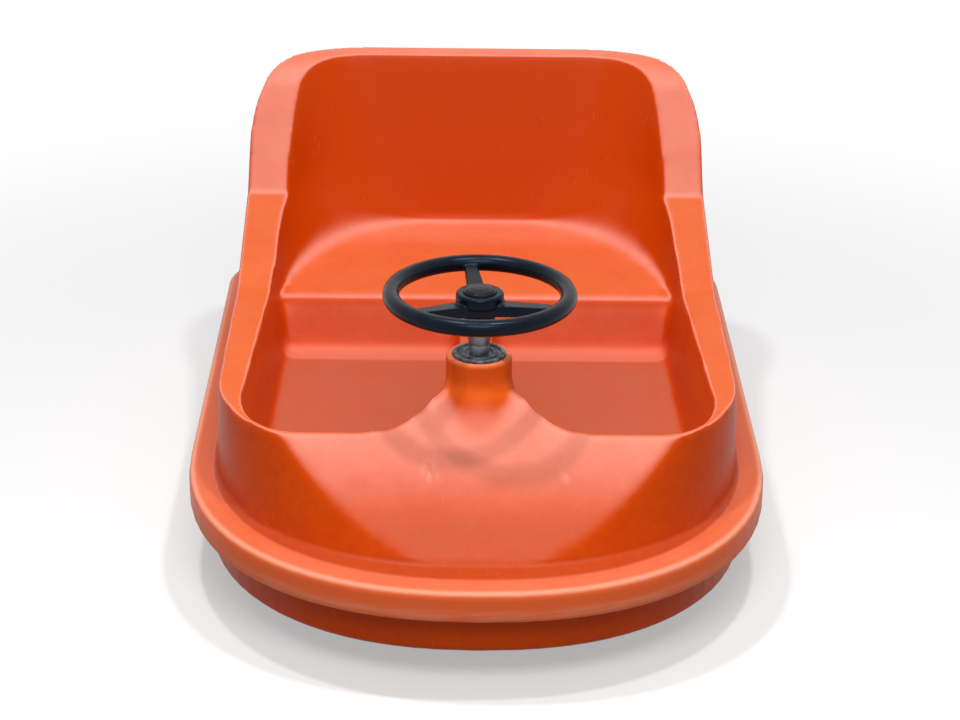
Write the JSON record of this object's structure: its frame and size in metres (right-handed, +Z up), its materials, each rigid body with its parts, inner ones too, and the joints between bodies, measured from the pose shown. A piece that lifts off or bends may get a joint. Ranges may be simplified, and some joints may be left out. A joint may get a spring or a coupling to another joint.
{
  "type": "children's bumper car",
  "caption": "Small ride-on bumper car: one-piece moulded tub with wrap-round bumper, level handwheel on an upright column, steered front wheel and fixed rear wheels.",
  "frame": {"origin": "on the floor under the middle of the overall box", "axes": "+Z up, -Y towards the nose, +Y towards the backrest, +X to the rider's left as seen from above with the nose at the bottom of the view (the rider faces -Y)"},
  "size_m": [0.783, 1.164, 0.512],
  "materials": {
    "tub": "rotomoulded polyethylene, satin, scuffed along the bumper",
    "wheel_plastic": "moulded glass-filled nylon, satin black",
    "bearing_black": "moulded rubber seal",
    "steel": "turned bright steel",
    "zinc": "pressed steel, zinc plated",
    "tyre": "moulded solid rubber",
    "nylon": "moulded nylon wheel centre"
  },
  "bodies": {
    "car": {"tub": "tub", "bearing_housing": "bearing_black", "bearing_ring": "steel", "column_plate": "zinc", "rear_bracket_left": "zinc", "rear_bracket_right": "zinc", "rear_axle_left": "steel", "rear_axle_right": "steel"},
    "steering": {"steering_shaft": "steel", "handwheel": "wheel_plastic", "hub_cap": "wheel_plastic", "steering_fork": "zinc", "front_axle": "steel"},
    "front_wheel": {"front_tyre": "tyre", "front_rim": "nylon"},
    "rear_wheel_left": {"rear_tyre_left": "tyre", "rear_rim_left": "nylon"},
    "rear_wheel_right": {"rear_tyre_right": "tyre", "rear_rim_right": "nylon"}
  },
  "joints": [
    {"name": "steer", "type": "hinge", "parent": "car", "child": "steering", "pos_m": [0, -0.311, 0.3], "axis": [0, 0, 1], "continuous": true},
    {"name": "front_spin", "type": "hinge", "parent": "steering", "child": "front_wheel", "pos_m": [0, -0.311, 0.055], "axis": [1, 0, 0], "continuous": true},
    {"name": "rear_spin_left", "type": "hinge", "parent": "car", "child": "rear_wheel_left", "pos_m": [-0.235, 0.367, 0.055], "axis": [1, 0, 0], "continuous": true},
    {"name": "rear_spin_right", "type": "hinge", "parent": "car", "child": "rear_wheel_right", "pos_m": [0.235, 0.367, 0.055], "axis": [1, 0, 0], "continuous": true}
  ]
}
